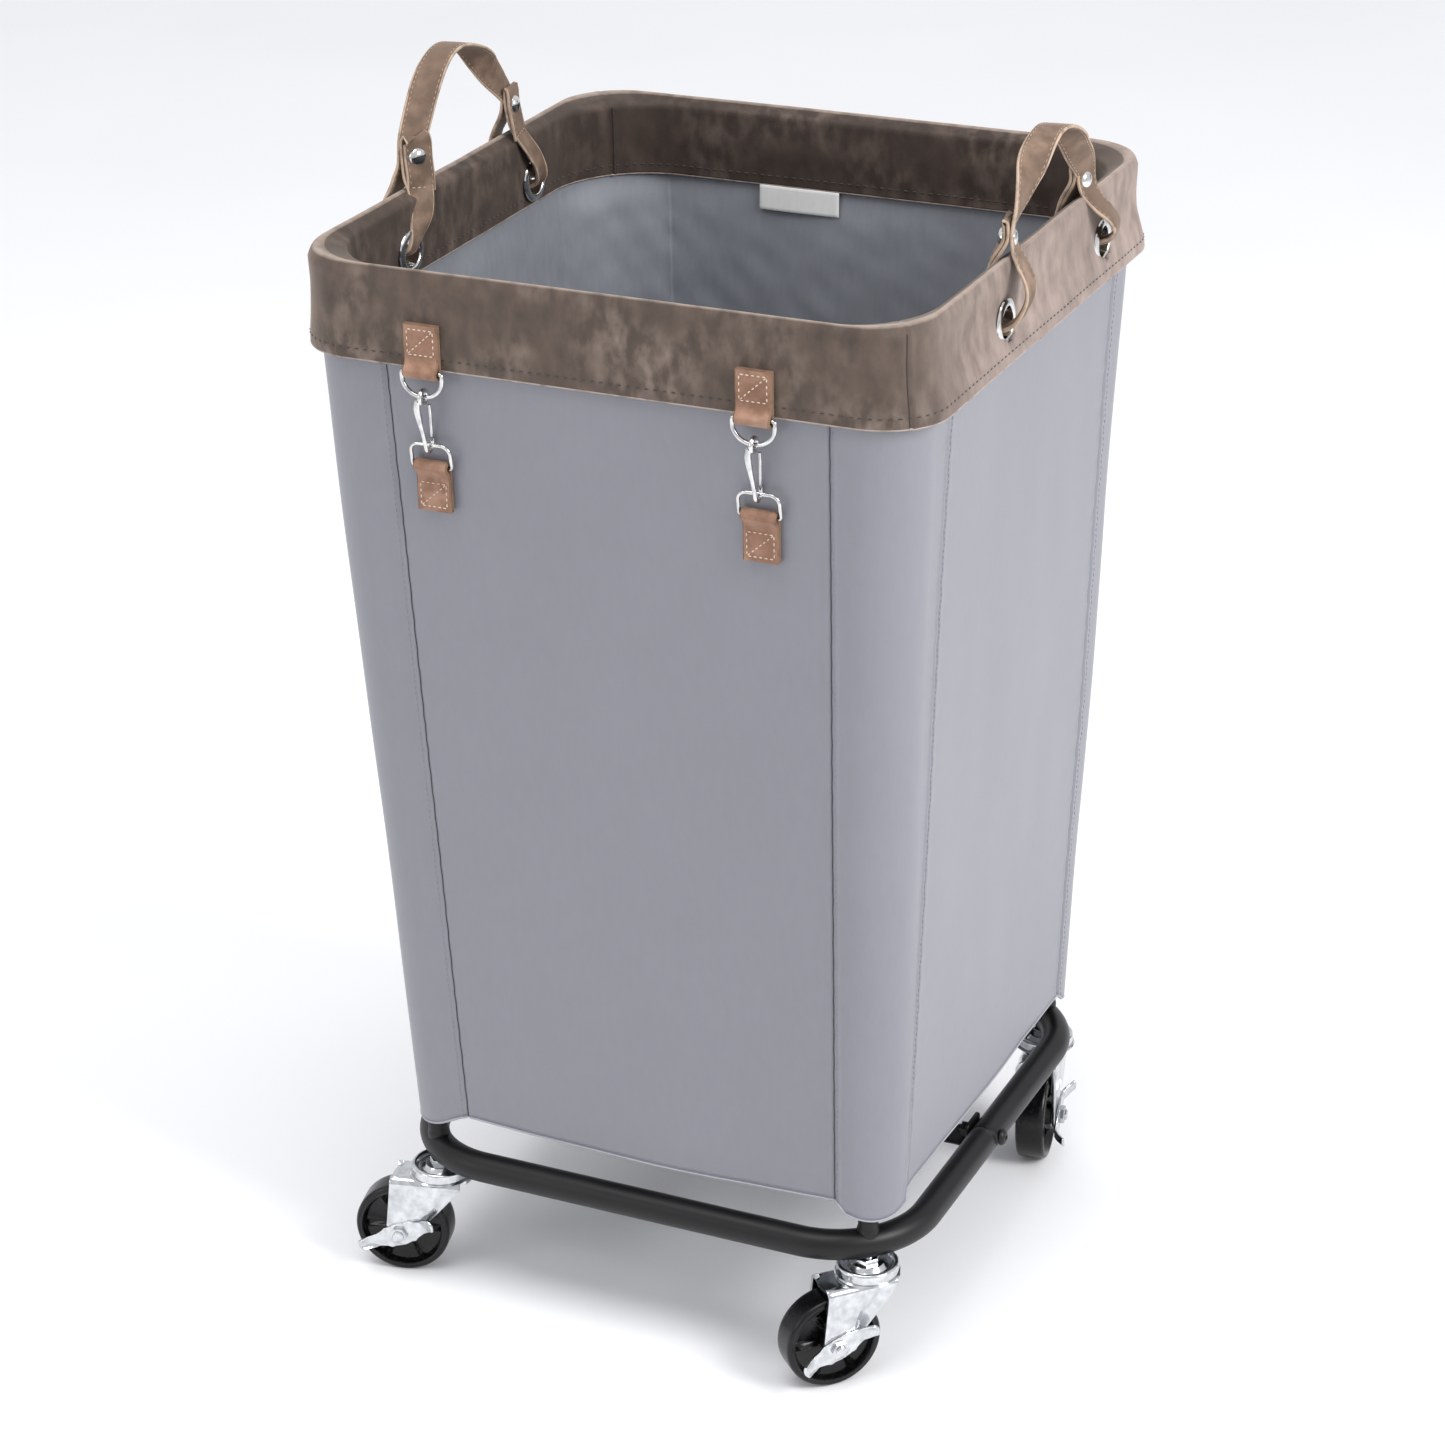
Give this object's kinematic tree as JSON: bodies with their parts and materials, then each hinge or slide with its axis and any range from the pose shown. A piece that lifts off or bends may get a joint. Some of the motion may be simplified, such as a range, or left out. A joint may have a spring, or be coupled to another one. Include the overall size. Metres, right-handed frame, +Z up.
{
  "type": "rolling laundry sorter",
  "caption": "Square rolling laundry hamper: tapered fabric bag with a leather-look rim band, clip tabs and carry straps on a round-cornered steel base ring with braked swivel casters.",
  "frame": {"origin": "on the floor, under the middle of the cart between its corner posts", "axes": "+Z up, the clip side faces -Y, the carry handles stand over the -X and +X rims"},
  "size_m": [0.4367, 0.4486, 0.8265],
  "materials": {
    "leather": "worn taupe, matt",
    "strap": "tan, stitched",
    "tab": "brown, stitched",
    "canvas": "grey polyester, matt",
    "board": "fabric-covered board",
    "black_steel": "satin black powder coat",
    "nickel": "bright nickel plate",
    "zinc": "bright zinc plate",
    "wheel": "glossy black"
  },
  "bodies": {
    "root": {"ring_front": "black_steel", "ring_rear": "black_steel", "cross_bar": "black_steel", "joint_bolt_right": "black_steel", "joint_bolt_left": "black_steel", "post_front_right": "black_steel", "post_front_left": "black_steel", "post_rear_right": "black_steel", "post_rear_left": "black_steel", "rim_hoop": "black_steel", "bag": "canvas", "base_board": "board", "rim_band": "leather", "caster_stem_front_right": "zinc", "caster_stem_front_left": "zinc", "caster_stem_rear_right": "zinc", "caster_stem_rear_left": "zinc", "eyelet_left_front": "nickel", "strap_loop_left_front": "strap", "eyelet_left_rear": "nickel", "strap_loop_left_rear": "strap", "eyelet_right_front": "nickel", "strap_loop_right_front": "strap", "eyelet_right_rear": "nickel", "strap_loop_right_rear": "strap", "upper_tab_left": "tab", "lower_tab_left": "tab", "upper_tab_right": "tab", "lower_tab_right": "tab"},
    "fork_front_right": {"caster_fork_front_right": "zinc", "caster_axle_front_right": "zinc"},
    "wheel_front_right": {"caster_wheel_front_right": "wheel"},
    "pedal_front_right": {"brake_pedal_front_right": "zinc"},
    "fork_front_left": {"caster_fork_front_left": "zinc", "caster_axle_front_left": "zinc"},
    "wheel_front_left": {"caster_wheel_front_left": "wheel"},
    "pedal_front_left": {"brake_pedal_front_left": "zinc"},
    "fork_rear_right": {"caster_fork_rear_right": "zinc", "caster_axle_rear_right": "zinc"},
    "wheel_rear_right": {"caster_wheel_rear_right": "wheel"},
    "pedal_rear_right": {"brake_pedal_rear_right": "zinc"},
    "fork_rear_left": {"caster_fork_rear_left": "zinc", "caster_axle_rear_left": "zinc"},
    "wheel_rear_left": {"caster_wheel_rear_left": "wheel"},
    "pedal_rear_left": {"brake_pedal_rear_left": "zinc"},
    "handle_left": {"handle_strap_left": "strap", "snap_left_front": "nickel", "snap_left_rear": "nickel"},
    "handle_right": {"handle_strap_right": "strap", "snap_right_front": "nickel", "snap_right_rear": "nickel"},
    "d_ring_left": {"d_ring_left": "nickel"},
    "hook_left": {"snap_hook_left": "nickel"},
    "gate_left": {"hook_gate_left": "nickel"},
    "square_ring_left": {"square_ring_left": "nickel"},
    "d_ring_right": {"d_ring_right": "nickel"},
    "hook_right": {"snap_hook_right": "nickel"},
    "gate_right": {"hook_gate_right": "nickel"},
    "square_ring_right": {"square_ring_right": "nickel"}
  },
  "joints": [
    {"name": "swivel_front_right", "type": "hinge", "parent": "root", "child": "fork_front_right", "pos_m": [0.15996, -0.16653, 0.08], "axis": [0, 0, 1], "continuous": true},
    {"name": "roll_front_right", "type": "hinge", "parent": "fork_front_right", "child": "wheel_front_right", "pos_m": [0.14055, -0.18713, 0.0335], "axis": [0.7278, -0.6858, 0], "continuous": true},
    {"name": "brake_front_right", "type": "hinge", "parent": "fork_front_right", "child": "pedal_front_right", "pos_m": [0.14055, -0.18713, 0.0335], "axis": [-0.7278, 0.6858, 0], "range_deg": [0, 18]},
    {"name": "swivel_front_left", "type": "hinge", "parent": "root", "child": "fork_front_left", "pos_m": [-0.15996, -0.16653, 0.08], "axis": [0, 0, 1], "continuous": true},
    {"name": "roll_front_left", "type": "hinge", "parent": "fork_front_left", "child": "wheel_front_left", "pos_m": [-0.18745, -0.17323, 0.0335], "axis": [0.2368, -0.9715, 0], "continuous": true},
    {"name": "brake_front_left", "type": "hinge", "parent": "fork_front_left", "child": "pedal_front_left", "pos_m": [-0.18745, -0.17323, 0.0335], "axis": [-0.2368, 0.9715, 0], "range_deg": [0, 18]},
    {"name": "swivel_rear_right", "type": "hinge", "parent": "root", "child": "fork_rear_right", "pos_m": [0.15996, 0.16653, 0.08], "axis": [0, 0, 1], "continuous": true},
    {"name": "roll_rear_right", "type": "hinge", "parent": "fork_rear_right", "child": "wheel_rear_right", "pos_m": [0.16521, 0.13872, 0.0335], "axis": [0.9826, 0.1857, 0], "continuous": true},
    {"name": "brake_rear_right", "type": "hinge", "parent": "fork_rear_right", "child": "pedal_rear_right", "pos_m": [0.16521, 0.13872, 0.0335], "axis": [-0.9826, -0.1857, 0], "range_deg": [0, 18]},
    {"name": "swivel_rear_left", "type": "hinge", "parent": "root", "child": "fork_rear_left", "pos_m": [-0.15996, 0.16653, 0.08], "axis": [0, 0, 1], "continuous": true},
    {"name": "roll_rear_left", "type": "hinge", "parent": "fork_rear_left", "child": "wheel_rear_left", "pos_m": [-0.14102, 0.18756, 0.0335], "axis": [-0.7431, 0.6691, 0], "continuous": true},
    {"name": "brake_rear_left", "type": "hinge", "parent": "fork_rear_left", "child": "pedal_rear_left", "pos_m": [-0.14102, 0.18756, 0.0335], "axis": [0.7431, -0.6691, 0], "range_deg": [0, 18]},
    {"name": "fold_handle_left", "type": "hinge", "parent": "root", "child": "handle_left", "pos_m": [-0.2037, 0.012, 0.7521], "axis": [0, -1, 0], "range_deg": [-85, 85]},
    {"name": "fold_handle_right", "type": "hinge", "parent": "root", "child": "handle_right", "pos_m": [0.2037, 0.022, 0.7521], "axis": [0, 1, 0], "range_deg": [-85, 85]},
    {"name": "swing_d_ring_left", "type": "hinge", "parent": "root", "child": "d_ring_left", "pos_m": [-0.114, -0.2146, 0.6833], "axis": [-1, 0, 0], "range_deg": [0, 12]},
    {"name": "swing_hook_left", "type": "hinge", "parent": "d_ring_left", "child": "hook_left", "pos_m": [-0.114, -0.2146, 0.6673], "axis": [-1, 0, 0], "range_deg": [-16, 0]},
    {"name": "open_gate_left", "type": "hinge", "parent": "hook_left", "child": "gate_left", "pos_m": [-0.114, -0.21067, 0.66153], "axis": [-1, 0, 0], "range_deg": [0, 12], "stiffness_Nm_per_rad": 0.02, "springref_deg": -5.73},
    {"name": "swing_square_ring_left", "type": "hinge", "parent": "root", "child": "square_ring_left", "pos_m": [-0.114, -0.20722, 0.6193], "axis": [1, 0, 0], "range_deg": [0, 4]},
    {"name": "swing_d_ring_right", "type": "hinge", "parent": "root", "child": "d_ring_right", "pos_m": [0.109, -0.2146, 0.6833], "axis": [-1, 0, 0], "range_deg": [0, 12]},
    {"name": "swing_hook_right", "type": "hinge", "parent": "d_ring_right", "child": "hook_right", "pos_m": [0.109, -0.2146, 0.6673], "axis": [-1, 0, 0], "range_deg": [-16, 0]},
    {"name": "open_gate_right", "type": "hinge", "parent": "hook_right", "child": "gate_right", "pos_m": [0.109, -0.21067, 0.66153], "axis": [-1, 0, 0], "range_deg": [0, 12], "stiffness_Nm_per_rad": 0.02, "springref_deg": -5.73},
    {"name": "swing_square_ring_right", "type": "hinge", "parent": "root", "child": "square_ring_right", "pos_m": [0.109, -0.20722, 0.6193], "axis": [1, 0, 0], "range_deg": [0, 4]}
  ],
  "couplings": [
    {"joint": "swing_hook_left", "follows": "swing_d_ring_left", "ratio": -1.31},
    {"joint": "swing_square_ring_left", "follows": "swing_d_ring_left", "ratio": 0.31},
    {"joint": "swing_hook_right", "follows": "swing_d_ring_right", "ratio": -1.31},
    {"joint": "swing_square_ring_right", "follows": "swing_d_ring_right", "ratio": 0.31}
  ]
}
